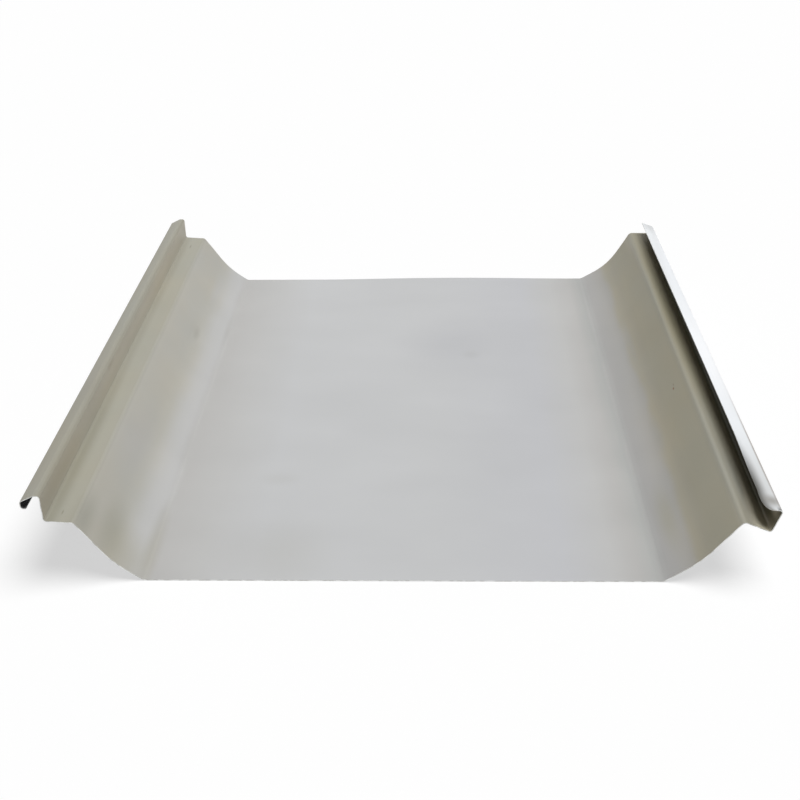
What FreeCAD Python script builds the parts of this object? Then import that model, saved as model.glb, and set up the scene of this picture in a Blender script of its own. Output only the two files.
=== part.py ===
"""Standing-seam roofing sheet, roll-formed from one strip of coated steel.

The section is a flat pan with a flank on each side. The left flank carries a hook that laps over the next
sheet, its lip turned back in, and the right flank carries a tongue that goes under the next sheet's hook.

Frame: +X across the sheet from the hook to the tongue, +Y along its length, +Z up. The origin is the middle
of the pan's underside, which is what the sheet lies on. Millimetres and degrees.
"""
import FreeCAD, Part
import math
import os
from collections import namedtuple
from enum import IntEnum

import Sketcher

NODE = "roofing_sheet"

# Driving dimensions. A flat is the straight stretch between two bends, and a radius is inside the bend.
SIZES = {
    "sheet_length": 500.0,
    "sheet_thickness": 0.6,
    "pan_flat": 342.0,
    "pan_bend_radius": 6.0,
    "foot_angle": 34.0,
    "flank_curve_radius": 72.0,
    "shoulder_radius": 3.0,
    "leg_foot_radius": 2.0,
    "seam_radius": 1.5,
    "hook_foot_flat": 6.5,
    "hook_flank_angle": 57.0,
    "hook_flank_flat": 23.5,
    "hook_shelf_rise_angle": 4.0,
    "hook_shelf_flat": 15.0,
    "hook_leg_flat": 15.5,
    "hook_flange_flat": 2.0,
    "hook_nose_drop_angle": 26.0,
    "hook_nose_flat": 8.5,
    "hook_lip_flat": 2.4,
    "hook_return_flat": 1.5,
    "tongue_foot_flat": 14.0,
    "tongue_flank_angle": 55.0,
    "tongue_flank_flat": 23.5,
    "tongue_shelf_drop_angle": 14.0,
    "tongue_shelf_flat": 14.3,
    "tongue_leg_lean_angle": 24.0,
    "tongue_leg_flat": 9.5,
    "tongue_flange_rise_angle": 20.0,
    "tongue_flange_flat": 10.5,
}

# The two faces of the strip, and the two sides that an edge can be on.
UNDER, UPPER = "under", "upper"
HOOK_SIDE, TONGUE_SIDE = -1, 1

# The sketch's own horizontal axis, whose first point is the origin.
AXIS = -1

# Degrees between a heading and the opposite one.
HALF_TURN = 180


class Spot(IntEnum):
    """Which end of a line or arc a constraint takes hold of."""

    START = 1
    END = 2


# A heading is the way a flat points, in degrees above level, outward from the pan: base + sign * size.
Heading = namedtuple("Heading", "base sign size", defaults=(1, None))
LEVEL, UP, DOWN, INWARD = Heading(0), Heading(90), Heading(-90), Heading(-HALF_TURN)

# A run is one bend of the strip and the flat that follows it.
Run = namedtuple("Run", "name bend_radius heading flat")

HOOK_RUNS = (
    Run("hook_foot", "pan_bend_radius", Heading(0, 1, "foot_angle"), "hook_foot_flat"),
    Run("hook_flank", "flank_curve_radius", Heading(0, 1, "hook_flank_angle"), "hook_flank_flat"),
    Run("hook_shelf", "shoulder_radius", Heading(0, 1, "hook_shelf_rise_angle"), "hook_shelf_flat"),
    Run("hook_leg", "leg_foot_radius", UP, "hook_leg_flat"),
    Run("hook_flange", "seam_radius", LEVEL, "hook_flange_flat"),
    Run("hook_nose", "seam_radius", Heading(0, -1, "hook_nose_drop_angle"), "hook_nose_flat"),
    Run("hook_lip", "seam_radius", DOWN, "hook_lip_flat"),
    Run("hook_return", "seam_radius", INWARD, "hook_return_flat"),
)

TONGUE_RUNS = (
    Run("tongue_foot", "pan_bend_radius", Heading(0, 1, "foot_angle"), "tongue_foot_flat"),
    Run("tongue_flank", "flank_curve_radius", Heading(0, 1, "tongue_flank_angle"), "tongue_flank_flat"),
    Run("tongue_shelf", "shoulder_radius", Heading(0, -1, "tongue_shelf_drop_angle"), "tongue_shelf_flat"),
    Run("tongue_leg", "leg_foot_radius", Heading(90, -1, "tongue_leg_lean_angle"), "tongue_leg_flat"),
    Run(
        "tongue_flange", "seam_radius", Heading(HALF_TURN, -1, "tongue_flange_rise_angle"),
        "tongue_flange_flat",
    ),
)


def write_sizes(doc):
    """Put the driving dimensions in a spreadsheet, one named cell each."""
    sheet = doc.addObject("Spreadsheet::Sheet", "Sizes")
    for row, (alias, value) in enumerate(SIZES.items(), start=1):
        sheet.set(f"A{row}", alias)
        sheet.set(f"B{row}", str(value))
        sheet.setAlias(f"B{row}", alias)
    doc.recompute()
    return sheet


def heading_degrees(sheet, heading):
    """The way a flat points, in degrees above level."""
    if heading.size is None:
        return heading.base
    return heading.base + heading.sign * sheet.get(heading.size)


def heading_formula(heading, side):
    """The same heading as a spreadsheet formula for a line in the sketch, mirrored on the hook's side."""
    base = heading.base if side == TONGUE_SIDE else HALF_TURN - heading.base
    sign = "+" if heading.sign == side else "-"
    return f"{base} {sign} Sizes.{heading.size}"


def tie(sketch, kind, *what):
    """Add a constraint to the sketch and return its number."""
    return sketch.addConstraint(Sketcher.Constraint(kind, *what))


def bind(sketch, constraint, name, formula):
    """Name a dimension of the sketch and tie it to the spreadsheet."""
    sketch.renameConstraint(constraint, name)
    sketch.setExpression(f"Constraints.{name}", formula)


def draw_line(sketch, start, end):
    """Draw a line between two points of the section and return its number."""
    return sketch.addGeometry(Part.LineSegment(FreeCAD.Vector(*start, 0), FreeCAD.Vector(*end, 0)), False)


def draw_arc(sketch, centre, radius, first, last):
    """Draw the arc that runs anticlockwise from one point to another and return its number."""
    circle = Part.Circle(FreeCAD.Vector(*centre, 0), FreeCAD.Vector(0, 0, 1), radius)
    first_angle = math.atan2(first[1] - centre[1], first[0] - centre[0])
    last_angle = math.atan2(last[1] - centre[1], last[0] - centre[0])
    return sketch.addGeometry(Part.ArcOfCircle(circle, first_angle, last_angle), False)


def draw_pan(sketch, sheet):
    """Draw both faces of the pan, centred on the origin with the underside on the ground."""
    half = sheet.get("pan_flat") / 2
    thickness = sheet.get("sheet_thickness")
    under = draw_line(sketch, (-half, 0), (half, 0))
    upper = draw_line(sketch, (-half, thickness), (half, thickness))
    tie(sketch, "Horizontal", under)
    tie(sketch, "Symmetric", under, Spot.START, under, Spot.END, AXIS, Spot.START)
    width = tie(sketch, "DistanceX", under, Spot.START, under, Spot.END, 2 * half)
    bind(sketch, width, "pan_flat", "Sizes.pan_flat")
    tie(sketch, "Horizontal", upper)
    tie(sketch, "Vertical", under, Spot.START, upper, Spot.START)
    tie(sketch, "Vertical", under, Spot.END, upper, Spot.END)
    gap = tie(sketch, "DistanceY", under, Spot.START, upper, Spot.START, thickness)
    bind(sketch, gap, "sheet_thickness", "Sizes.sheet_thickness")
    return {UNDER: under, UPPER: upper}


def draw_bend(sketch, sheet, run, side, face, corner, way_in, way_out):
    """Draw one face of a bend from a corner point, and return the arc, its two ends and where it stops."""
    rising = way_out > way_in
    inside = rising == (face == UPPER)
    radius = sheet.get(run.bend_radius)
    formula = f"Sizes.{run.bend_radius}"
    if not inside:
        radius += sheet.get("sheet_thickness")
        formula += " + Sizes.sheet_thickness"
    swing = radius if rising else -radius
    before = math.radians(way_in)
    after = math.radians(way_out)
    centre = (corner[0] - swing * math.sin(before), corner[1] + swing * math.cos(before))
    stop = (centre[0] + swing * math.sin(after), centre[1] - swing * math.cos(after))
    drawn = [(side * point[0], point[1]) for point in (centre, corner, stop)]
    anticlockwise = rising == (side == TONGUE_SIDE)
    if anticlockwise:
        arc = draw_arc(sketch, drawn[0], radius, drawn[1], drawn[2])
        ends = (Spot.START, Spot.END)
    else:
        arc = draw_arc(sketch, drawn[0], radius, drawn[2], drawn[1])
        ends = (Spot.END, Spot.START)
    dimension = tie(sketch, "Radius", arc, radius)
    bind(sketch, dimension, f"{run.name}_{face}_radius", formula)
    return arc, ends, stop


def point_flat(sketch, sheet, line, run, side, way):
    """Set the way that a flat of the underside points, and its length."""
    if run.heading.size is not None:
        angle = math.radians(way if side == TONGUE_SIDE else HALF_TURN - way)
        dimension = tie(sketch, "Angle", line, angle)
        bind(sketch, dimension, f"{run.name}_heading", heading_formula(run.heading, side))
    elif run.heading in (LEVEL, INWARD):
        tie(sketch, "Horizontal", line)
    else:
        tie(sketch, "Vertical", line)
    dimension = tie(sketch, "Distance", line, sheet.get(run.flat))
    bind(sketch, dimension, run.flat, f"Sizes.{run.flat}")


def draw_edge(sketch, sheet, pan, side, runs):
    """Draw one edge of the strip outward from the pan, both faces side by side, and close its end."""
    half = sheet.get("pan_flat") / 2
    corner = {UNDER: (half, 0), UPPER: (half, sheet.get("sheet_thickness"))}
    last = dict(pan)
    last_end = Spot.END if side == TONGUE_SIDE else Spot.START
    way_in = 0
    for run in runs:
        way_out = heading_degrees(sheet, run.heading)
        length = sheet.get(run.flat)
        step = (length * math.cos(math.radians(way_out)), length * math.sin(math.radians(way_out)))
        flats = {}
        for face in (UNDER, UPPER):
            arc, ends, stop = draw_bend(sketch, sheet, run, side, face, corner[face], way_in, way_out)
            corner[face] = (stop[0] + step[0], stop[1] + step[1])
            line = draw_line(sketch, (side * stop[0], stop[1]), (side * corner[face][0], corner[face][1]))
            tie(sketch, "Tangent", last[face], last_end, arc, ends[0])
            tie(sketch, "Tangent", arc, ends[1], line, Spot.START)
            flats[face] = line
        point_flat(sketch, sheet, flats[UNDER], run, side, way_out)
        tie(sketch, "Parallel", flats[UNDER], flats[UPPER])
        tie(sketch, "Equal", flats[UNDER], flats[UPPER])
        last = flats
        last_end = Spot.END
        way_in = way_out
    cut = draw_line(sketch, *[(side * corner[face][0], corner[face][1]) for face in (UNDER, UPPER)])
    tie(sketch, "Coincident", cut, Spot.START, last[UNDER], Spot.END)
    tie(sketch, "Coincident", cut, Spot.END, last[UPPER], Spot.END)


def build_sheet(doc, sheet):
    """The rolled strip: its section on the XZ plane, drawn out evenly to both sides."""
    body = doc.addObject("PartDesign::Body", "RoofingSheet")
    body.Label = NODE
    plane = next(feature for feature in body.Origin.OriginFeatures if feature.Role == "XZ_Plane")
    section = body.newObject("Sketcher::SketchObject", "Section")
    section.AttachmentSupport = [(plane, "")]
    section.MapMode = "FlatFace"
    pan = draw_pan(section, sheet)
    draw_edge(section, sheet, pan, HOOK_SIDE, HOOK_RUNS)
    draw_edge(section, sheet, pan, TONGUE_SIDE, TONGUE_RUNS)
    doc.recompute()
    length = body.newObject("PartDesign::Pad", "Length")
    length.Profile = section
    length.SideType = "Symmetric"
    length.setExpression("Length", "Sizes.sheet_length")
    doc.recompute()
    if not section.FullyConstrained:
        raise RuntimeError("the section still has free dimensions")
    return body


def check(doc, body):
    """Stop if anything in the document failed, or if the solid isn't one whole sheet."""
    for item in doc.Objects:
        if "Invalid" in item.State or "Error" in item.State:
            raise RuntimeError(f"{item.Label} failed: {item.State}")
    if body.Shape.isNull() or not body.Shape.isValid():
        raise RuntimeError(f"{body.Label} has no valid shape")
    if len(body.Shape.Solids) != 1:
        raise RuntimeError(f"{body.Label} should be one solid")


def main():
    """Build the sheet, check it and write it out."""
    doc = FreeCAD.newDocument("RoofingSheet")
    sheet = write_sizes(doc)
    body = build_sheet(doc, sheet)
    check(doc, body)
    os.makedirs("parts", exist_ok=True)
    body.Shape.exportStep(f"parts/{body.Label}.step")
    box = body.Shape.BoundBox
    print(f"{body.Label}: {box.XLength:.1f} x {box.YLength:.1f} x {box.ZLength:.1f} mm")
    print(f"x {box.XMin:.2f} to {box.XMax:.2f}, z {box.ZMin:.2f} to {box.ZMax:.2f}")
    print(f"volume {body.Shape.Volume:.0f} mm3")


main()
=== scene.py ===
"""Looks of a short length of standing-seam roofing sheet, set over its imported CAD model.

The sheet is one strip of coil-coated steel, roll-formed to a pan with a hook edge and a tongue edge
and then cut square. The strip is drawn here from the same flats and bends as the CAD solid, run out
along its length, given the slight bows, bends and dents of a handled sample, and thickened to its
real gauge. The frame is the CAD model's own: +X across from the hook to the tongue, +Y along, +Z up,
in metres.
"""

import logging
import math
from dataclasses import dataclass
from enum import Enum, IntEnum
from itertools import pairwise

import bmesh
import bpy
from mathutils import Matrix, Vector


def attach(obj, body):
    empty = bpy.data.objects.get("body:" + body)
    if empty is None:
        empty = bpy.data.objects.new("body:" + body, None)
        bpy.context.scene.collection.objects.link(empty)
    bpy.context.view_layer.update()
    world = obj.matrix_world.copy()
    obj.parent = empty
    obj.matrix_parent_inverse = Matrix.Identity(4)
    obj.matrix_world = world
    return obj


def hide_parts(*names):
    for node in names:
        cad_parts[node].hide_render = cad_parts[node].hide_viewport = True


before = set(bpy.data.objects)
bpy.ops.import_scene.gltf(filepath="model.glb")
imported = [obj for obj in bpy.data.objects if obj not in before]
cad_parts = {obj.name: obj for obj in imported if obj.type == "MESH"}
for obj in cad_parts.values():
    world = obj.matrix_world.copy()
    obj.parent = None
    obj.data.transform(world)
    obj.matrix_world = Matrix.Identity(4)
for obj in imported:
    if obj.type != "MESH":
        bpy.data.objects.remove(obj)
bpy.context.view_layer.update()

MM = 0.001
# The mesh's own record of each point's place across the strip.
GIRTH = "girth"
# The length of a mark that runs the whole sheet and keeps its weight all along, mm.
LONG = 5000.0

log = logging.getLogger("roofing_sheet")


class Side(Enum):
    """The two long edges of the sheet, by the sign of their X."""

    HOOK = -1
    TONGUE = 1


class Coat(IntEnum):
    """The sheet's material slots."""

    TOP = 0
    BACK = 1
    CUT = 2


class CoatTone(Enum):
    """The top coat's tones as the colour each gives, with painted shade among the greys and painted
    light on the hook's leg.
    """

    CLEAN = "#BDBEBF"
    COOL = "#B8B9BC"
    LIGHT_GREY = "#B6B6B5"
    # Greys used for painted shade by the pan's bends and on the tongue's foot.
    MID_GREY = "#AEADAB"
    BEND_SHADE = "#A6A7A5"
    WARM_GREY = "#B2B1AC"
    OLIVE = "#AEAA9C"
    TAN = "#B5B1A0"
    # Painted light on the hook's leg.
    LEG_LIGHT = "#C4BFB2"
    # Greys used for painted shade on the ledges and the hook's nose.
    DIM_GREY = "#A09F96"
    DARK_GREY = "#918F84"
    # Painted shade of the tongue's channel.
    CHANNEL_SHADE = "#66614C"


class MixSocket(IntEnum):
    """Where a colour Mix node takes and gives its values."""

    FACTOR = 0
    FIRST = 6
    SECOND = 7
    RESULT = 2


def linear(code: str) -> tuple[float, float, float, float]:
    """Turn an sRGB hex colour into linear light.

    Args:
        code: six hex digits after a hash sign.

    Returns:
        Red, green, blue and an alpha of one.
    """
    channels = [int(code[start:start + 2], 16) / 255 for start in (1, 3, 5)]
    light = [
        value / 12.92 if value <= 0.04045 else ((value + 0.055) / 1.055) ** 2.4 for value in channels
    ]
    return (*light, 1.0)


def add_node(
    tree: bpy.types.NodeTree,
    kind: str,
    settings: dict[str | int, object] | None = None,
    links: dict[str | int, bpy.types.NodeSocket] | None = None,
) -> bpy.types.Node:
    """Add a node to a tree.

    Args:
        tree: the material's or world's node tree.
        kind: the node's type name.
        settings: values by property name, or by input name or number.
        links: output sockets by the input that each one feeds.

    Returns:
        The new node.
    """
    node = tree.nodes.new(kind)
    for name, value in (settings or {}).items():
        if isinstance(name, str) and hasattr(node, name):
            setattr(node, name, value)
        else:
            node.inputs[name].default_value = value
    for name, source in (links or {}).items():
        tree.links.new(source, node.inputs[name])
    return node


def new_material(name: str) -> bpy.types.Material:
    """Make an empty node material.

    Args:
        name: what it is called.

    Returns:
        The material, with nothing in its node tree.
    """
    material = bpy.data.materials.new(name)
    material.use_nodes = True
    material.node_tree.nodes.clear()
    return material


def fall_off(distance: float) -> float:
    """Ease from one at the middle to nothing at a distance of one and beyond."""
    return (1 - distance * distance) ** 2 if distance < 1 else 0.0


def ease(share: float) -> float:
    """Ease from nothing at zero to one at one."""
    share = min(max(share, 0.0), 1.0)
    return share * share * (3 - 2 * share)


@dataclass(frozen=True)
class Run:
    """One bend of the strip and the flat after it, outward from the pan.

    Attributes:
        radius: inside radius of the bend, mm.
        heading: the way the flat points, degrees above level.
        flat: length of the flat, mm.
        arcs: how many chords stand for the bend.
        cuts: how many lengths the flat is cut into.
    """

    radius: float
    heading: float
    flat: float
    arcs: int
    cuts: int


@dataclass(frozen=True)
class Dent:
    """A soft knock in the sheet.

    Attributes:
        girth: its middle across the strip, mm from the pan's middle, measured along the bent face.
        along: its middle along the sheet, mm.
        width: how far it reaches across, mm.
        length: how far it reaches along, mm.
        depth: how deep it goes, mm.
    """

    girth: float
    along: float
    width: float
    length: float
    depth: float

    def press(self, girth: float, along: float) -> float:
        """Work out how far the knock pushes the face in.

        Args:
            girth: the point's place across the strip, mm.
            along: its place along the sheet, mm.

        Returns:
            The push there, mm.
        """
        across = (girth - self.girth) / self.width
        down = (along - self.along) / self.length
        return self.depth * fall_off(math.hypot(across, down))


@dataclass(frozen=True)
class Band:
    """The coat's tone at one place across the strip.

    Attributes:
        girth: the place, mm from the pan's middle along the bent face.
        tone: which of the coat's tones lies there.
    """

    girth: float
    film: CoatTone


@dataclass(frozen=True)
class Mark:
    """A smudge, stain, scratch or rubbed place on a coat.

    Attributes:
        girth: its middle across the strip, mm.
        along: its middle along the sheet, mm.
        width: how far it reaches across, mm.
        length: how far it reaches along, mm.
        weight: how much of the coat it hides, from 0 to 1.
        colour: its own colour.
    """

    girth: float
    along: float
    width: float
    length: float
    weight: float
    colour: str


def strip_place(tree: bpy.types.NodeTree) -> tuple[bpy.types.NodeSocket, bpy.types.NodeSocket]:
    """Add nodes that give each point's place on the strip as it was before it was bent.

    Args:
        tree: the coat's node tree.

    Returns:
        The girth in metres, and a vector of the girth and the length along.
    """
    girth = add_node(tree, "ShaderNodeAttribute", {"attribute_name": GIRTH})
    spot = add_node(tree, "ShaderNodeTexCoord")
    along = add_node(tree, "ShaderNodeSeparateXYZ", links={"Vector": spot.outputs["Object"]})
    place = add_node(
        tree, "ShaderNodeCombineXYZ", links={"X": girth.outputs["Fac"], "Y": along.outputs["Y"]},
    )
    return girth.outputs["Fac"], place.outputs["Vector"]


@dataclass(frozen=True)
class Clouds:
    """Soft clouds that lie on the strip.

    Few points have a level under a quarter or over three quarters.

    Attributes:
        size: how large they are across and along, mm.
        shift: which stretch of the pattern shows.
        span: the levels at which they start to tell and at which they tell in full.
        detail: how many finer layers they hold.
        fineness: how strong each finer layer is.
    """

    size: tuple[float, float]
    shift: float
    span: tuple[float, float] = (0.0, 1.0)
    detail: float = 2.0
    fineness: float = 0.45

    def lay(
        self,
        tree: bpy.types.NodeTree,
        place: bpy.types.NodeSocket,
        ends: tuple[float, float] = (0.0, 1.0),
    ) -> bpy.types.NodeSocket:
        """Lay the clouds on a coat.

        Args:
            tree: the coat's node tree.
            place: the place on the strip.
            ends: the values that they give where they start to tell and where they tell in full.

        Returns:
            The value at each point.
        """
        across, along = self.size
        spread = add_node(
            tree, "ShaderNodeMapping",
            {
                "Location": (self.shift, self.shift, 0),
                "Scale": (1 / (across * MM), 1 / (along * MM), 1),
            },
            {"Vector": place},
        )
        level = add_node(
            tree, "ShaderNodeTexNoise",
            {"Scale": 1.0, "Detail": self.detail, "Roughness": self.fineness},
            {"Vector": spread.outputs["Vector"]},
        )
        value = add_node(
            tree, "ShaderNodeMapRange",
            {
                "From Min": self.span[0], "From Max": self.span[1],
                "To Min": ends[0], "To Max": ends[1],
            },
            {"Value": level.outputs["Fac"]},
        )
        return value.outputs["Result"]


def smear(
    tree: bpy.types.NodeTree,
    place: bpy.types.NodeSocket,
    coat: bpy.types.NodeSocket,
    mark: Mark,
) -> bpy.types.NodeSocket:
    """Lay one mark over a coat.

    Args:
        tree: the coat's node tree.
        place: the place on the strip.
        coat: the coat's colour so far.
        mark: the mark to lay.

    Returns:
        The colour with the mark on it.
    """
    centred = add_node(
        tree, "ShaderNodeVectorMath",
        {"operation": "SUBTRACT", 1: (mark.girth * MM, mark.along * MM, 0)}, {0: place},
    )
    scaled = add_node(
        tree, "ShaderNodeVectorMath",
        {"operation": "MULTIPLY", 1: (1 / (mark.width * MM), 1 / (mark.length * MM), 1)},
        {0: centred.outputs["Vector"]},
    )
    distance = add_node(
        tree, "ShaderNodeVectorMath", {"operation": "LENGTH"}, {0: scaled.outputs["Vector"]},
    )
    cover = add_node(
        tree, "ShaderNodeMapRange",
        {"interpolation_type": "SMOOTHSTEP", "To Min": mark.weight, "To Max": 0.0},
        {"Value": distance.outputs["Value"]},
    )
    marked = add_node(
        tree, "ShaderNodeMix",
        {"data_type": "RGBA", MixSocket.SECOND: linear(mark.colour)},
        {MixSocket.FACTOR: cover.outputs["Result"], MixSocket.FIRST: coat},
    )
    return marked.outputs[MixSocket.RESULT]


@dataclass(frozen=True)
class TopCoat:
    """Silver-grey polyester coil coat, rolled on and stoved.

    It has an even satin sheen over a smooth face. It is softly clouded, and an olive and tan tint lies
    on the raised edges. Its greys also hold painted shade, by the pan's bends, on the ledges and deepest
    in the tongue's channel, and painted light on the hook's leg and at the ends of the channel. Places
    across are in mm from the pan's middle along the bent face.

    Attributes:
        bands: the coat's tones, painted shade and painted light among them, from the hook across to the
            tongue.
        marks: its smudges, stains and scratches, and patches of painted shade and painted light, in the
            order they are laid.
        reach: how far the bands are drawn to either side.
        tint_start: where the tint starts, on either side.
        tint_full: where it is full.
        shoulder: where the shelves start.
        channel_start: where the tongue's channel starts to lose its gloss.
        channel_full: where it has lost it all.
        wander: how far the bands' edges stray, mm.
        straying: where they stray.
        patches: the patches of tint, some 5 cm across and longer than wide.
        olive: how one tint colours the coat.
        tan: how the other colours it.
        clouding: soft patches, wider than they are long.
        haze: how they dim the coat and brighten it.
        roughness: of the bare coat and of the tinted coat.
        gloss: the specular level of the coat and of the tongue's channel, lower there to deepen its
            shade.
        roller_lines: the lines that the roller left along the sheet. They are really a fraction of a
            millimetre apart, and are drawn coarser to show.
        line_strength: how clearly they show.
        line_depth: how deep they are, mm.
        metallic: how much of the coat is metal flake.
    """

    bands: tuple[Band, ...] = (
        # The hook's nose, crown and leg, the leg paler as painted light.
        Band(-290.0, CoatTone.DARK_GREY),
        Band(-280.0, CoatTone.DIM_GREY),
        Band(-275.5, CoatTone.DIM_GREY),
        Band(-272.5, CoatTone.DARK_GREY),
        Band(-269.5, CoatTone.LEG_LIGHT),
        Band(-256.5, CoatTone.LEG_LIGHT),
        # Its shelf, darker as painted shade, and the flank.
        Band(-253.0, CoatTone.DARK_GREY),
        Band(-246.0, CoatTone.DIM_GREY),
        Band(-236.6, CoatTone.DIM_GREY),
        Band(-233.0, CoatTone.WARM_GREY),
        Band(-200.0, CoatTone.WARM_GREY),
        # The foot, paler, and the pan, greyer toward its bends as painted shade.
        Band(-188.0, CoatTone.LIGHT_GREY),
        Band(-179.0, CoatTone.LIGHT_GREY),
        Band(-171.0, CoatTone.MID_GREY),
        Band(-140.0, CoatTone.LIGHT_GREY),
        Band(-100.0, CoatTone.CLEAN),
        Band(20.0, CoatTone.CLEAN),
        Band(110.0, CoatTone.COOL),
        Band(140.0, CoatTone.LIGHT_GREY),
        Band(158.0, CoatTone.MID_GREY),
        Band(170.0, CoatTone.BEND_SHADE),
        # The other foot and flank, and the tongue's shelf down to its channel, darker as painted shade
        # and darkest at the channel's leg.
        Band(178.0, CoatTone.MID_GREY),
        Band(195.5, CoatTone.MID_GREY),
        Band(200.5, CoatTone.OLIVE),
        Band(208.0, CoatTone.OLIVE),
        Band(216.0, CoatTone.TAN),
        Band(236.0, CoatTone.TAN),
        Band(240.0, CoatTone.DIM_GREY),
        Band(249.0, CoatTone.DARK_GREY),
        Band(253.0, CoatTone.TAN),
        Band(256.5, CoatTone.TAN),
        Band(259.0, CoatTone.CHANNEL_SHADE),
    )
    marks: tuple[Mark, ...] = (
        # Painted shade in the two knocks on the hook's flank, darker, bluer and yellower patches on the
        # hook's side, its browner nose, and two short scratches.
        Mark(-202.0, 84.0, 5.0, 18.0, 0.18, "#6E6A60"),
        Mark(-175.0, 122.0, 4.0, 45.0, 0.14, "#77766F"),
        Mark(-206.0, -224.0, 18.0, 45.0, 0.34, "#85826C"),
        Mark(-229.5, -237.0, 13.0, 40.0, 0.28, "#6A6B58"),
        Mark(-188.0, -240.0, 24.0, 42.0, 0.3, "#8C8668"),
        Mark(-174.0, -216.0, 9.0, 66.0, 0.26, "#857F60"),
        Mark(-215.0, -120.0, 26.0, 60.0, 0.3, "#A4A6AC"),
        Mark(-199.0, 180.0, 9.0, 55.0, 0.45, "#B1B2B3"),
        Mark(-249.8, -170.0, 8.0, 190.0, 0.3, "#6E6C58"),
        Mark(-264.0, -215.0, 12.0, 90.0, 0.12, "#9A8A58"),
        Mark(-276.0, -85.0, 8.0, 60.0, 0.1, "#8A7355"),
        Mark(-280.0, -150.0, 9.0, 210.0, 0.12, "#7F6C51"),
        Mark(-269.0, -62.0, 4.0, 14.0, 0.25, "#8A7A60"),
        Mark(-245.0, 226.0, 1.0, 7.0, 0.45, "#4A4437"),
        Mark(-244.5, -239.0, 0.8, 4.0, 0.5, "#5A5444"),
        # Painted light on the hook's leg and its foot, painted shade along its shoulder's bend, and a
        # darker line along its crown's bend.
        Mark(-262.0, 60.0, 10.0, 280.0, 0.16, "#EDE4D4"),
        Mark(-255.5, 60.0, 3.0, 900.0, 0.25, "#EDE8DA"),
        Mark(-235.2, 0.0, 2.6, LONG, 0.125, "#77746A"),
        Mark(-272.4, 0.0, 1.7, LONG, 0.2, "#5E5A4C"),
        # The pan's faint spot and clouded patches, and its edge by the tongue, darker as painted shade
        # up to the bend and paler as painted light just past it.
        Mark(55.0, 78.0, 12.0, 12.0, 0.1, "#77766F"),
        Mark(30.0, 95.0, 55.0, 75.0, 0.13, "#8B8D97"),
        Mark(-85.0, -222.0, 50.0, 60.0, 0.11, "#8A8468"),
        Mark(-95.0, -128.0, 22.0, 12.0, 0.1, "#8A867A"),
        Mark(166.5, 120.0, 10.0, 400.0, 0.1, "#6E6E6C"),
        Mark(171.0, 0.0, 4.5, LONG, 0.12, "#6E6E6C"),
        Mark(174.7, 0.0, 4.0, LONG, 0.095, "#DADAD8"),
        Mark(183.0, 70.0, 10.0, 170.0, 0.07, "#7A7A76"),
        # A rusty tick on the tongue's flank, and where its tint reaches lower or stops short.
        Mark(225.8, -52.0, 1.3, 2.6, 0.9, "#8A5236"),
        Mark(227.0, -47.5, 0.9, 3.2, 0.45, "#7E6450"),
        Mark(187.0, -190.0, 11.0, 55.0, 0.35, "#9A9577"),
        Mark(199.0, -90.0, 7.0, 45.0, 0.4, "#A2A4A8"),
        Mark(201.0, 70.0, 5.0, 75.0, 0.3, "#A5A7AA"),
        # The tongue's shoulder, with a painted highlight along its bend, and its shelf, yellowed and
        # darkened as painted shade, most toward the channel under the flange.
        Mark(238.0, 0.0, 1.8, LONG, 0.09, "#D8D0B8"),
        Mark(237.5, -240.0, 3.0, 45.0, 0.12, "#D8D4C4"),
        Mark(238.0, 215.0, 3.2, 110.0, 0.16, "#D8D4C8"),
        Mark(235.0, 240.0, 7.0, 45.0, 0.3, "#D2CEC0"),
        Mark(244.8, 110.0, 4.8, 230.0, 0.2, "#4E4828"),
        Mark(241.3, 0.0, 2.4, LONG, 0.12, "#6E6650"),
        Mark(242.0, 20.0, 2.4, 150.0, 0.12, "#6E6650"),
        Mark(243.2, 0.0, 3.0, LONG, 0.2, "#6E6650"),
        Mark(248.5, 90.0, 13.0, 330.0, 0.3, "#9A8C58"),
        Mark(248.5, 120.0, 8.5, 300.0, 0.6, "#45412C"),
        # Painted shade that blackens the crease at the foot of its leg, and painted light at the ends of
        # its channel and at its leg's near end.
        Mark(259.4, -50.0, 3.6, 330.0, 0.78, "#15130D"),
        Mark(256.0, 225.0, 4.5, 110.0, 0.45, "#C9C0A6"),
        Mark(258.9, -180.0, 1.7, 170.0, 0.5, "#15130D"),
        Mark(252.5, -212.0, 4.5, 40.0, 0.5, "#D2CAB2"),
        Mark(253.0, -238.0, 8.5, 38.0, 0.95, "#EAE3CC"),
        Mark(258.5, -252.0, 6.0, 24.0, 0.75, "#E6DEC6"),
        Mark(265.0, -254.0, 8.0, 22.0, 0.5, "#B9B098"),
        Mark(266.8, -240.5, 5.0, 13.0, 0.7, "#E6DECA"),
    )
    reach: float = 300.0
    tint_start: float = 176.0
    tint_full: float = 202.0
    shoulder: float = 234.0
    channel_start: float = 246.0
    channel_full: float = 258.0
    wander: float = 6.0
    straying: Clouds = Clouds((30.0, 60.0), 3.1)
    patches: Clouds = Clouds((45.0, 95.0), 7.4, (0.35, 0.65))
    olive: str = "#FBFBF8"
    tan: str = "#FFFCF4"
    clouding: Clouds = Clouds((110.0, 60.0), 1.7, (0.3, 0.7))
    haze: tuple[float, float] = (0.975, 1.025)
    roughness: tuple[float, float] = (0.40, 0.54)
    gloss: tuple[float, float] = (0.5, 0.26)
    roller_lines: Clouds = Clouds((2.5, 160.0), 0.6)
    line_strength: float = 0.12
    line_depth: float = 0.05
    metallic: float = 0.12

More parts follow.
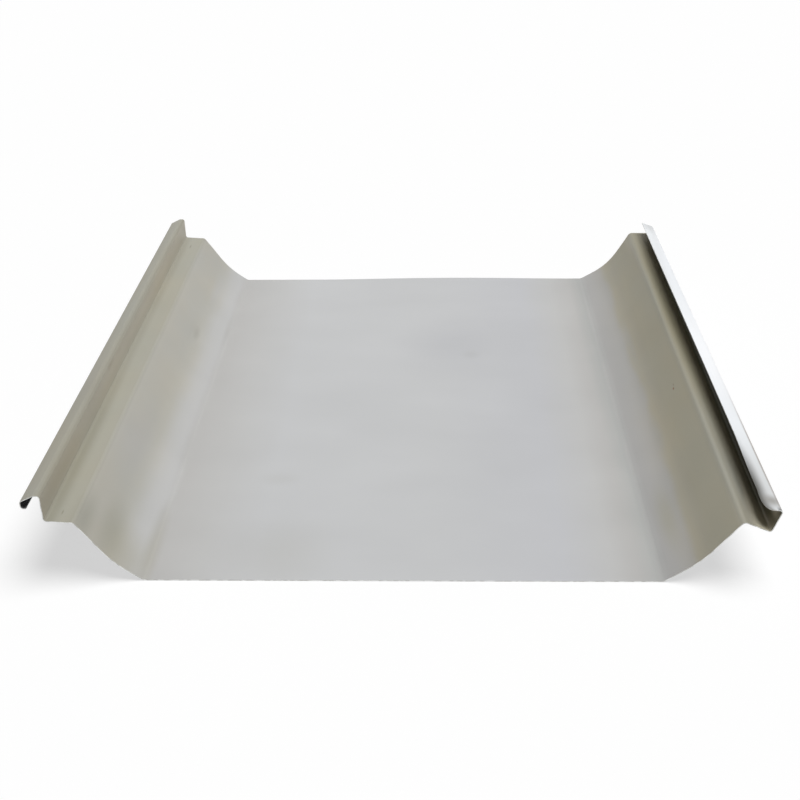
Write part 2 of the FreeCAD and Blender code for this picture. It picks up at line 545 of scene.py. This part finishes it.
    def lay_bands(self, tree: bpy.types.NodeTree, girth: bpy.types.NodeSocket) -> bpy.types.NodeSocket:
        """Lay the coat's colours across the strip.

        Args:
            tree: the coat's node tree.
            girth: the girth, in metres.

        Returns:
            The colour at each point.
        """
        share = add_node(
            tree, "ShaderNodeMapRange",
            {"From Min": -self.reach * MM, "From Max": self.reach * MM}, {"Value": girth},
        )
        ramp = add_node(tree, "ShaderNodeValToRGB", links={"Fac": share.outputs["Result"]})
        stops = ramp.color_ramp.elements
        stops.remove(stops[-1])
        for number, band in enumerate(self.bands):
            where = (band.girth + self.reach) / (2 * self.reach)
            stop = stops[0] if number == 0 else stops.new(where)
            stop.position = where
            stop.color = linear(band.film.value)
        return ramp.outputs["Color"]

    def make(self) -> bpy.types.Material:
        """Build the coat's material.

        Returns:
            The material.
        """
        material = new_material("silver_grey_polyester_coat")
        tree = material.node_tree
        girth, place = strip_place(tree)
        out = add_node(tree, "ShaderNodeMath", {"operation": "ABSOLUTE"}, {0: girth})
        # The bands' edges wander by a few millimetres up to the shoulders, and run straight past them.
        loose = add_node(
            tree, "ShaderNodeMapRange",
            {
                "interpolation_type": "SMOOTHSTEP", "From Min": self.tint_full * MM,
                "From Max": self.shoulder * MM, "To Min": 1.0, "To Max": 0.0,
            },
            {"Value": out.outputs[0]},
        )
        stray = self.straying.lay(tree, place, (-self.wander * MM, self.wander * MM))
        wandering = add_node(
            tree, "ShaderNodeMath", {"operation": "MULTIPLY_ADD"},
            {0: stray, 1: loose.outputs["Result"], 2: girth},
        )
        coat = self.lay_bands(tree, wandering.outputs[0])
        # The raised edges take a tan and olive tint, in patches.
        tinted = add_node(
            tree, "ShaderNodeMapRange",
            {
                "interpolation_type": "SMOOTHSTEP", "From Min": self.tint_start * MM,
                "From Max": self.tint_full * MM,
            },
            {"Value": out.outputs[0]},
        )
        tint = add_node(
            tree, "ShaderNodeMix",
            {
                "data_type": "RGBA", MixSocket.FIRST: linear(self.olive),
                MixSocket.SECOND: linear(self.tan),
            },
            {MixSocket.FACTOR: self.patches.lay(tree, place)},
        )
        tinted_coat = add_node(
            tree, "ShaderNodeMix", {"data_type": "RGBA", "blend_type": "MULTIPLY"},
            {
                MixSocket.FACTOR: tinted.outputs["Result"], MixSocket.FIRST: coat,
                MixSocket.SECOND: tint.outputs[MixSocket.RESULT],
            },
        )
        coat = tinted_coat.outputs[MixSocket.RESULT]
        for mark in self.marks:
            coat = smear(tree, place, coat, mark)
        clouded = add_node(
            tree, "ShaderNodeHueSaturation",
            links={"Color": coat, "Value": self.clouding.lay(tree, place, self.haze)},
        )
        dull = add_node(
            tree, "ShaderNodeMapRange",
            {"To Min": self.roughness[0], "To Max": self.roughness[1]},
            {"Value": tinted.outputs["Result"]},
        )
        gloss = add_node(
            tree, "ShaderNodeMapRange",
            {
                "From Min": self.channel_start * MM, "From Max": self.channel_full * MM,
                "To Min": self.gloss[0], "To Max": self.gloss[1],
            },
            {"Value": girth},
        )
        relief = add_node(
            tree, "ShaderNodeBump",
            {"Strength": self.line_strength, "Distance": self.line_depth * MM},
            {"Height": self.roller_lines.lay(tree, place)},
        )
        shader = add_node(
            tree, "ShaderNodeBsdfPrincipled", {"Metallic": self.metallic},
            {
                "Base Color": clouded.outputs["Color"], "Roughness": dull.outputs["Result"],
                "Specular IOR Level": gloss.outputs["Result"], "Normal": relief.outputs["Normal"],
            },
        )
        add_node(tree, "ShaderNodeOutputMaterial", links={"Surface": shader.outputs["BSDF"]})
        return material


@dataclass(frozen=True)
class BackCoat:
    """Thin off-white epoxy backing coat on the reverse of the strip, rolled on and left plain.

    It is paler and duller than the top coat, with faint lines along the strip where the roller laid it
    thinner. On the tongue it carries painted shade, a painted highlight and darker patches, and inside
    the hook it is painted black as shade.

    Attributes:
        off_white: its colour where it lies thick.
        thin: its colour where it lies thin.
        streaks: where it lies thin.
        roughness: where it lies thick and where it lies thin.
        marks: its painted shade, painted highlight and darker patches, in the order they are laid.
    """

    off_white: str = "#E9ECEF"
    thin: str = "#DDDFE0"
    streaks: Clouds = Clouds((9.0, 220.0), 2.3, (0.45, 0.75))
    roughness: tuple[float, float] = (0.46, 0.6)
    marks: tuple[Mark, ...] = (
        # Painted shade, black, inside the hook, its whole length.
        Mark(-289.0, 0.0, 15.0, LONG, 0.95, "#262424"),
        # Painted shade on the tongue's outer bend, along the near half.
        Mark(271.0, -190.0, 2.2, 125.0, 1.0, "#857A70"),
        # The tongue's flange: a painted highlight along its middle, darker toward its free edge by the
        # near end, a patch of painted shade near that end, greyer toward both ends, and a black near
        # corner.
        Mark(276.0, -30.0, 16.0, 130.0, 0.7, "#FBFCFE"),
        Mark(283.6, -230.0, 8.6, 82.0, 1.0, "#1C1A12"),
        Mark(275.0, -240.0, 10.0, 9.0, 0.65, "#6A6358"),
        Mark(276.0, -230.0, 14.0, 95.0, 0.31, "#7E796C"),
        Mark(275.0, 252.0, 14.0, 34.0, 0.3, "#77756F"),
        Mark(272.4, -252.0, 3.4, 7.5, 1.0, "#0E0D0A"),
    )

    def make(self) -> bpy.types.Material:
        """Build the coat's material.

        Returns:
            The material.
        """
        material = new_material("off_white_backing_coat")
        tree = material.node_tree
        _, place = strip_place(tree)
        streak = self.streaks.lay(tree, place)
        coat = add_node(
            tree, "ShaderNodeMix",
            {
                "data_type": "RGBA", MixSocket.FIRST: linear(self.off_white),
                MixSocket.SECOND: linear(self.thin),
            },
            {MixSocket.FACTOR: streak},
        )
        dull = add_node(
            tree, "ShaderNodeMapRange",
            {"To Min": self.roughness[0], "To Max": self.roughness[1]}, {"Value": streak},
        )
        colour = coat.outputs[MixSocket.RESULT]
        for mark in self.marks:
            colour = smear(tree, place, colour, mark)
        shader = add_node(
            tree, "ShaderNodeBsdfPrincipled",
            links={"Base Color": colour, "Roughness": dull.outputs["Result"]},
        )
        add_node(tree, "ShaderNodeOutputMaterial", links={"Surface": shader.outputs["BSDF"]})
        return material


@dataclass(frozen=True)
class CutEdge:
    """Sheared galvanised steel at the cut edges.

    It is bare grey metal, part burnished by the blade and part torn. The tongue's free edge is
    painted dark brown as shade.

    Attributes:
        burnished: its colour where the blade slid.
        torn: its colour where it tore.
        tears: where it tore.
        roughness: where the blade slid and where it tore.
        free_edge_shade: the painted shade, dark brown, on the tongue's free edge.
    """

    burnished: str = "#DADBD9"
    torn: str = "#BDBDB9"
    tears: Clouds = Clouds((4.0, 4.0), 5.2, (0.4, 0.6))
    roughness: tuple[float, float] = (0.35, 0.6)
    # Painted shade, dark brown, along the tongue's free edge.
    free_edge_shade: Mark = Mark(282.5, -20.0, 3.0, 290.0, 0.9, "#3E3024")

    def make(self) -> bpy.types.Material:
        """Build the edge's material.

        Returns:
            The material.
        """
        material = new_material("sheared_galvanised_steel")
        tree = material.node_tree
        _, place = strip_place(tree)
        tear = self.tears.lay(tree, place)
        metal = add_node(
            tree, "ShaderNodeMix",
            {
                "data_type": "RGBA", MixSocket.FIRST: linear(self.burnished),
                MixSocket.SECOND: linear(self.torn),
            },
            {MixSocket.FACTOR: tear},
        )
        rough = add_node(
            tree, "ShaderNodeMapRange",
            {"To Min": self.roughness[0], "To Max": self.roughness[1]}, {"Value": tear},
        )
        shader = add_node(
            tree, "ShaderNodeBsdfPrincipled", {"Metallic": 1.0},
            {
                "Base Color": smear(tree, place, metal.outputs[MixSocket.RESULT], self.free_edge_shade),
                "Roughness": rough.outputs["Result"],
            },
        )
        add_node(tree, "ShaderNodeOutputMaterial", links={"Surface": shader.outputs["BSDF"]})
        return material


@dataclass(frozen=True)
class Wear:
    """How handling has bent the sheet, in mm and degrees.

    Places across are measured from the pan's middle along the bent face.

    Attributes:
        half_length: from the middle of the sheet to either end.
        foot: where the flanks start.
        shoulder: where the tongue's shelf starts.
        leg_foot: where the shelf meets the tongue's leg.
        leg_top: where the leg ends.
        shoulder_rise: how far the tongue's shoulder stands high, at the near end and at the far end.
        leg_rise: the same of its leg's foot.
        hook_bulge: how far the hook's flank bulges inward, at the near end and at the far end.
        tongue_bulge: the same of the tongue's flank.
        flange_root: where the tongue's flange starts.
        flange: how wide the flange is.
        flange_heading: the way it points.
        droop: how far it is turned down at the near end.
        droop_reach: how far from that end it starts to turn.
        curl: how far its free edge is curled over near the near end.
        curl_width: how much of its width is curled.
        curl_reach: how far from that end the curl starts.
        curl_rise: how long it takes to reach its full turn.
        corner_width: how much of the flange's width its near corner takes up, worn round.
        corner_length: how far along the sheet that corner runs.
        bow: how far the pan's far edge stands up.
        bow_middle: where it stands up most.
        bow_half: how far the bow goes to either side.
        bow_reach: how far it runs along the sheet.
        dents: the knocks.
    """

    half_length: float = 250.0
    foot: float = 171.0
    shoulder: float = 240.0
    leg_foot: float = 258.3
    leg_top: float = 269.4
    shoulder_rise: tuple[float, float] = (-0.6, 1.2)
    leg_rise: tuple[float, float] = (-3.8, 5.4)
    hook_bulge: tuple[float, float] = (0.8, 0.8)
    tongue_bulge: tuple[float, float] = (0.9, -2.0)
    flange_root: float = 271.8
    flange: float = 10.5
    flange_heading: float = 160.0
    droop: float = 14.0
    droop_reach: float = 24.0
    curl: float = 40.0
    curl_width: float = 4.5
    curl_reach: float = 92.0
    curl_rise: float = 62.0
    corner_width: float = 5.2
    corner_length: float = 18.0
    bow: float = 1.4
    bow_middle: float = 37.0
    bow_half: float = 130.0
    bow_reach: float = 70.0
    dents: tuple[Dent, ...] = (
        Dent(girth=-202.0, along=84.0, width=9.0, length=24.0, depth=0.7),
        Dent(girth=-178.0, along=122.0, width=6.0, length=52.0, depth=0.5),
    )

    def between(self, ends: tuple[float, float], along: float) -> float:
        """Go evenly from a value at the near end to one at the far end."""
        share = (along + self.half_length) / (2 * self.half_length)
        return ends[0] + share * (ends[1] - ends[0])

    def tongue_twist(self, across: float, along: float) -> Vector:
        """Twist the tongue's flank, shelf and leg, low at the near end and high at the far end.

        Args:
            across: the place across the strip.
            along: the place along the sheet.

        Returns:
            How far the point moves, mm.
        """
        knots = (
            (self.foot, 0.0),
            (self.shoulder, self.between(self.shoulder_rise, along)),
            (self.leg_foot, self.between(self.leg_rise, along)),
            (self.leg_top, 0.0),
        )
        for (start, low), (stop, high) in pairwise(knots):
            if start < across <= stop:
                return Vector((0, 0, low + (high - low) * (across - start) / (stop - start)))
        return Vector()

    def flank_bulge(self, across: float, along: float) -> float:
        """Work out how far a flank bulges inward.

        Args:
            across: the place across the strip.
            along: the place along the sheet.

        Returns:
            The bulge there, mm.
        """
        share = 2 * (abs(across) - self.foot) / (self.shoulder - self.foot) - 1
        ends = self.hook_bulge if across < 0 else self.tongue_bulge
        return max(1 - share * share, 0.0) * self.between(ends, along)

    def pan_bow(self, across: float, along: float) -> Vector:
        """Bow the pan's far edge up off the floor.

        Args:
            across: the place across the strip.
            along: the place along the sheet.

        Returns:
            How far the point moves, mm.
        """
        away = (self.half_length - along) / self.bow_reach
        aside = (across - self.bow_middle) / self.bow_half
        return Vector((0, 0, self.bow * fall_off(abs(aside)) * fall_off(away)))

    @staticmethod
    def way(heading: float) -> Vector:
        """One millimetre the way a heading in degrees points, on the tongue's side."""
        return Vector((math.cos(math.radians(heading)), 0, math.sin(math.radians(heading))))

    def worn_width(self, from_end: float) -> float:
        """How wide the flange is so far from its near end, where its corner is worn round, mm."""
        share = max(1 - from_end / self.corner_length, 0.0)
        return self.flange - self.corner_width * (1 - math.sqrt(1 - share * share))

    def flange_bend(self, across: float, along: float) -> Vector:
        """Wear the flange's near corner round, turn it down and curl its free edge over the channel.

        Args:
            across: the place across the strip.
            along: the place along the sheet.

        Returns:
            How far the point moves, mm.
        """
        out = across - self.flange_root
        from_end = along + self.half_length
        if out <= 0 or from_end >= self.curl_reach:
            return Vector()
        kept = out * self.worn_width(from_end) / self.flange
        flat = min(kept, self.flange - self.curl_width)
        curled = kept - flat
        start = self.flange_heading + self.droop * ease(1 - from_end / self.droop_reach)
        rise = ease((self.curl_reach - from_end) / self.curl_rise)
        turn = self.curl * rise * curled / self.curl_width
        half_turn = math.radians(turn / 2)
        chord = curled * math.sin(half_turn) / half_turn if half_turn else curled
        bent = flat * self.way(start) + chord * self.way(start + turn / 2)
        return bent - out * self.way(self.flange_heading)


@dataclass
class RolledSheet:
    """The whole sheet: one strip, its section bent up from the pan on both sides.

    Attributes:
        wear: how handling has bent it.
        top: the finish of its upper face.
        back: the finish of its reverse.
        cut: the finish of its cut edges.
        length: how long it is, mm.
        thickness: its gauge, mm.
        pan_flat: how wide the pan is between its bends, mm.
        pan_cuts: how many lengths the pan is cut into across.
        near_length: how far from the near end the finer rows go, mm.
        near_rows: how many rows there are up to there.
        far_rows: how many rows there are past it.
        hook: the bends and flats of the hook's side, outward.
        tongue: the bends and flats of the tongue's side, outward.
    """

    wear: Wear = Wear()
    top: TopCoat = TopCoat()
    back: BackCoat = BackCoat()
    cut: CutEdge = CutEdge()
    length: float = 500.0
    thickness: float = 0.6
    pan_flat: float = 342.0
    pan_cuts: int = 60
    near_length: float = 80.0
    near_rows: int = 60
    far_rows: int = 105
    hook: tuple[Run, ...] = (
        Run(radius=6.0, heading=34.0, flat=6.5, arcs=6, cuts=2),
        Run(radius=72.0, heading=57.0, flat=23.5, arcs=10, cuts=8),
        Run(radius=3.0, heading=4.0, flat=15.0, arcs=8, cuts=5),
        Run(radius=2.0, heading=90.0, flat=15.5, arcs=8, cuts=5),
        Run(radius=1.5, heading=0.0, flat=2.0, arcs=8, cuts=1),
        Run(radius=1.5, heading=-26.0, flat=8.5, arcs=4, cuts=3),
        Run(radius=1.5, heading=-90.0, flat=2.4, arcs=6, cuts=1),
        Run(radius=1.5, heading=-180.0, flat=1.5, arcs=8, cuts=1),
    )
    tongue: tuple[Run, ...] = (
        Run(radius=6.0, heading=34.0, flat=14.0, arcs=6, cuts=4),
        Run(radius=72.0, heading=55.0, flat=23.5, arcs=10, cuts=8),
        Run(radius=3.0, heading=-14.0, flat=14.3, arcs=8, cuts=6),
        Run(radius=2.0, heading=66.0, flat=9.5, arcs=8, cuts=4),
        Run(radius=1.5, heading=160.0, flat=10.5, arcs=9, cuts=14),
    )

    def draw_edge(self, bm: bmesh.types.BMesh, tip: bmesh.types.BMVert, side: Side) -> None:
        """Draw the upper face of one edge outward from the pan, as a chain of straight pieces.

        Args:
            bm: the mesh that holds the section.
            tip: the pan's last vertex on that side.
            side: which edge it is.
        """
        way = 0.0
        for run in self.hook if side is Side.HOOK else self.tongue:
            # A bend turns about a point above the drawn face where it rises, and one below the sheet
            # where it falls.
            rising = run.heading > way
            swing = run.radius * MM if rising else -(run.radius + self.thickness) * MM
            before = math.radians(way)
            centre = tip.co + swing * Vector((-side.value * math.sin(before), 0, math.cos(before)))
            bend = bmesh.ops.spin(
                bm, geom=[tip], cent=centre, axis=(0, 1, 0), dvec=(0, 0, 0),
                angle=-side.value * math.radians(run.heading - way), steps=run.arcs,
                use_merge=False, use_duplicate=False,
            )
            tip = bend["geom_last"][0]
            after = math.radians(run.heading)
            onward = Vector((side.value * math.cos(after), 0, math.sin(after)))
            step = run.flat / run.cuts * MM * onward
            for _ in range(run.cuts):
                tip = self.draw_on(bm, tip, step)
            way = run.heading

    @staticmethod
    def draw_on(bm: bmesh.types.BMesh, tip: bmesh.types.BMVert, step: Vector) -> bmesh.types.BMVert:
        """Draw the section on by one straight piece.

        Args:
            bm: the mesh that holds the section.
            tip: the vertex to draw on from.
            step: which way and how far, in metres.

        Returns:
            The new tip.
        """
        tip = bmesh.ops.extrude_vert_indiv(bm, verts=[tip])["verts"][0]
        bmesh.ops.translate(bm, verts=[tip], vec=step)
        return tip

    def draw_section(self, bm: bmesh.types.BMesh) -> None:
        """Draw the upper face of the whole section at the near end.

        Args:
            bm: an empty mesh.
        """
        half = self.pan_flat / 2 * MM
        first = bm.verts.new((-half, -self.length / 2 * MM, self.thickness * MM))
        step = Vector((self.pan_flat / self.pan_cuts * MM, 0, 0))
        last = first
        for _ in range(self.pan_cuts):
            last = self.draw_on(bm, last, step)
        self.draw_edge(bm, first, Side.HOOK)
        self.draw_edge(bm, last, Side.TONGUE)

    def measure_girth(self, bm: bmesh.types.BMesh) -> None:
        """Write on each vertex how far it is from the pan's middle along the bent face, in metres.

        Args:
            bm: the mesh that holds the section.
        """
        girth = bm.verts.layers.float.new(GIRTH)
        middle = min(bm.verts, key=lambda vert: vert.co.length_squared)
        for side in Side:
            here = middle
            edge = max(here.link_edges, key=lambda item: side.value * item.other_vert(here).co.x)
            while edge is not None:
                there = edge.other_vert(here)
                there[girth] = here[girth] + side.value * edge.calc_length()
                onward = [item for item in there.link_edges if item is not edge]
                here = there
                edge = onward[0] if onward else None

    def run_out(self, bm: bmesh.types.BMesh) -> None:
        """Run the section out along the sheet, in finer rows by the near end, and turn its face up.

        Args:
            bm: the mesh that holds the section.
        """
        end = bm.verts[:] + bm.edges[:]
        far_length = self.length - self.near_length
        for stretch, rows in ((self.near_length, self.near_rows), (far_length, self.far_rows)):
            end = bmesh.ops.spin(
                bm, geom=end, cent=(0, 0, 0), axis=(0, 1, 0), dvec=(0, stretch / rows * MM, 0),
                angle=0, steps=rows, use_merge=False, use_duplicate=False,
            )["geom_last"]
        bmesh.ops.recalc_face_normals(bm, faces=bm.faces[:])
        bm.normal_update()
        if sum(face.normal.z for face in bm.faces) < 0:
            bmesh.ops.reverse_faces(bm, faces=bm.faces[:])
            bm.normal_update()

    def handle(self, bm: bmesh.types.BMesh) -> None:
        """Give the face the twist, bulges, bow, bends and knocks of a sheet that has been handled.

        Args:
            bm: the mesh that holds the upper face.
        """
        girth = bm.verts.layers.float[GIRTH]
        wear = self.wear
        for vert in bm.verts:
            across = vert[girth] / MM
            along = vert.co.y / MM
            knocked = sum(dent.press(across, along) for dent in wear.dents)
            swell = wear.flank_bulge(across, along) - knocked
            shift = wear.tongue_twist(across, along) + wear.pan_bow(across, along)
            shift += wear.flange_bend(across, along)
            vert.co += (shift + swell * vert.normal) * MM
            # Nothing is pushed down through the floor.
            vert.co.z = max(vert.co.z, self.thickness * MM)
        bm.normal_update()

    def thicken(self, bm: bmesh.types.BMesh) -> None:
        """Give the strip its gauge below the drawn face, cut square, and sort its faces by coat.

        Args:
            bm: the mesh that holds the upper face.
        """
        top = set(bm.faces)
        top_verts = set(bm.verts)
        bmesh.ops.solidify(bm, geom=bm.faces[:], thickness=self.thickness * MM)
        half = self.length / 2 * MM
        for vert in bm.verts:
            vert.co.y = min(max(vert.co.y, -half), half)
        for face in bm.faces:
            face.smooth = True
            if face in top:
                face.material_index = Coat.TOP
            elif top_verts.isdisjoint(face.verts):
                face.material_index = Coat.BACK
            else:
                face.material_index = Coat.CUT
                face.smooth = False
                for edge in face.edges:
                    edge.smooth = False

    def build(self) -> bpy.types.Object:
        """Build the sheet.

        Returns:
            The sheet's object, in its place.
        """
        bm = bmesh.new()
        self.draw_section(bm)
        self.measure_girth(bm)
        self.run_out(bm)
        self.handle(bm)
        self.thicken(bm)
        mesh = bpy.data.meshes.new("coated_sheet")
        bm.to_mesh(mesh)
        bm.free()
        sheet = bpy.data.objects.new("coated_sheet", mesh)
        bpy.context.scene.collection.objects.link(sheet)
        return sheet

    def dress(self, sheet: bpy.types.Object) -> None:
        """Give the sheet its coats, in the order of its material slots.

        Args:
            sheet: the sheet's object.
        """
        for finish in (self.top, self.back, self.cut):
            sheet.data.materials.append(finish.make())


@dataclass(frozen=True)
class Viewpoint:
    """The camera of the reference view.

    Attributes:
        image_width: the width of the picture, pixels.
        focal: its focal length, pixels.
        place: where it stands, metres.
        pitch: how far it looks down, degrees.
        yaw: how far it is turned to the left, degrees.
        roll: how far its right side dips, degrees.
        sensor: the width of its sensor, mm.
    """

    image_width: float = 800.0
    focal: float = 1159.0
    place: tuple[float, float, float] = (0.0211, -0.8617, 0.4831)
    pitch: float = 29.40
    yaw: float = 1.91
    roll: float = 1.01
    sensor: float = 36.0

    def build(self) -> None:
        """Set up the camera and make it the scene's own."""
        pitch = math.radians(self.pitch)
        yaw = math.radians(self.yaw)
        roll = math.radians(self.roll)
        level = Vector((math.cos(yaw), math.sin(yaw), 0))
        ahead = Vector(
            (-math.sin(yaw) * math.cos(pitch), math.cos(yaw) * math.cos(pitch), -math.sin(pitch))
        )
        down = ahead.cross(level)
        right = math.cos(roll) * level + math.sin(roll) * down
        up = math.sin(roll) * level - math.cos(roll) * down
        lens = bpy.data.cameras.new("reference_view")
        lens.sensor_width = self.sensor
        lens.lens = self.sensor * self.focal / self.image_width
        camera = bpy.data.objects.new("reference_view", lens)
        turned = Matrix((right, up, -ahead)).transposed().to_4x4()
        camera.matrix_world = Matrix.Translation(self.place) @ turned
        bpy.context.scene.collection.objects.link(camera)
        bpy.context.scene.camera = camera


@dataclass(frozen=True)
class Studio:
    """A white floor under one broad soft lamp, a little to the right of overhead.

    Attributes:
        floor_side: how wide the square floor is, metres.
        floor_drop: how far it lies under the sheet, metres.
        white: the colour that the floor and the surround show.
        lift: how much of the floor's white shows in any shade.
        bounce: the colour by which the floor lights the sheet from below.
        lamp_strength: how strong the lamp is, watts per square metre.
        lamp_spread: how broad it is, seen from the sheet, degrees.
        lamp_lean: how far it is from overhead, degrees.
        surround: how strongly the surround lights the sheet.
    """

    floor_side: float = 16.0
    floor_drop: float = 0.0002
    white: str = "#FFFFFF"
    lift: float = 0.6
    bounce: str = "#808080"
    lamp_strength: float = 3.0
    lamp_spread: float = 40.0
    lamp_lean: float = 15.5
    surround: float = 0.06

    def lay_floor(self) -> bpy.types.Object:
        """Lay the floor just under the sheet.

        Returns:
            The floor's object.
        """
        bm = bmesh.new()
        bmesh.ops.create_grid(bm, x_segments=1, y_segments=1, size=self.floor_side / 2)
        bmesh.ops.translate(bm, verts=bm.verts[:], vec=(0, 0, -self.floor_drop))
        mesh = bpy.data.meshes.new("studio_floor")
        bm.to_mesh(mesh)
        bm.free()
        floor = bpy.data.objects.new("studio_floor", mesh)
        bpy.context.scene.collection.objects.link(floor)
        floor.data.materials.append(self.floor_finish())
        return floor

    @staticmethod
    def seen_rays(tree: bpy.types.NodeTree) -> bpy.types.NodeSocket:
        """Add nodes that tell the rays that show a surface from those that only carry its light.

        Args:
            tree: the tree to add them to.

        Returns:
            A socket that is one for camera, glossy and transmission rays.
        """
        path = add_node(tree, "ShaderNodeLightPath")
        mirrored = add_node(
            tree, "ShaderNodeMath", {"operation": "MAXIMUM"},
            {0: path.outputs["Is Glossy Ray"], 1: path.outputs["Is Transmission Ray"]},
        )
        seen = add_node(
            tree, "ShaderNodeMath", {"operation": "MAXIMUM"},
            {0: path.outputs["Is Camera Ray"], 1: mirrored.outputs[0]},
        )
        return seen.outputs[0]

    def floor_finish(self) -> bpy.types.Material:
        """Build the floor's material: white paper that takes a soft shadow and throws little light back.

        Returns:
            The material.
        """
        material = new_material("white_paper_floor")
        tree = material.node_tree
        paper = add_node(tree, "ShaderNodeBsdfDiffuse", {"Color": linear(self.white)})
        glow = add_node(tree, "ShaderNodeEmission", {"Color": linear(self.white), "Strength": 1.0})
        shown = add_node(
            tree, "ShaderNodeMixShader", {0: self.lift},
            {1: paper.outputs["BSDF"], 2: glow.outputs["Emission"]},
        )
        bounce = add_node(tree, "ShaderNodeBsdfDiffuse", {"Color": linear(self.bounce)})
        surface = add_node(
            tree, "ShaderNodeMixShader",
            links={0: self.seen_rays(tree), 1: bounce.outputs["BSDF"], 2: shown.outputs["Shader"]},
        )
        add_node(tree, "ShaderNodeOutputMaterial", links={"Surface": surface.outputs["Shader"]})
        return material

    def hang_lamp(self) -> None:
        """Hang the broad soft lamp, leaning to the right."""
        light = bpy.data.lights.new("soft_overhead", "SUN")
        light.energy = self.lamp_strength
        light.angle = math.radians(self.lamp_spread)
        lamp = bpy.data.objects.new("soft_overhead", light)
        lamp.rotation_euler = (0, math.radians(self.lamp_lean), 0)
        bpy.context.scene.collection.objects.link(lamp)

    def surround_room(self) -> None:
        """Surround the scene with white that shows, but that lights the sheet only a little."""
        world = bpy.data.worlds.new("white_surround")
        bpy.context.scene.world = world
        world.use_nodes = True
        tree = world.node_tree
        tree.nodes.clear()
        strength = add_node(
            tree, "ShaderNodeMapRange", {"To Min": self.surround, "To Max": 1.0},
            {"Value": self.seen_rays(tree)},
        )
        glow = add_node(
            tree, "ShaderNodeBackground", {"Color": linear(self.white)},
            {"Strength": strength.outputs["Result"]},
        )
        add_node(tree, "ShaderNodeOutputWorld", links={"Surface": glow.outputs["Background"]})

    def build(self) -> bpy.types.Object:
        """Set up the floor, the lamp and the surround.

        Returns:
            The floor's object.
        """
        self.hang_lamp()
        self.surround_room()
        return self.lay_floor()


def main() -> None:
    """Build the sheet and the studio round it."""
    logging.basicConfig(level=logging.INFO, format="%(name)s: %(message)s")
    bpy.context.scene.view_settings.view_transform = "Standard"
    Viewpoint().build()
    rolled = RolledSheet()
    sheet = rolled.build()
    rolled.dress(sheet)
    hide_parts("roofing_sheet")
    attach(sheet, "root")
    log.info("%s: %d faces", sheet.name, len(sheet.data.polygons))
    floor = Studio().build()
    log.info("%s: laid", floor.name)


if __name__ == "__main__":
    main()
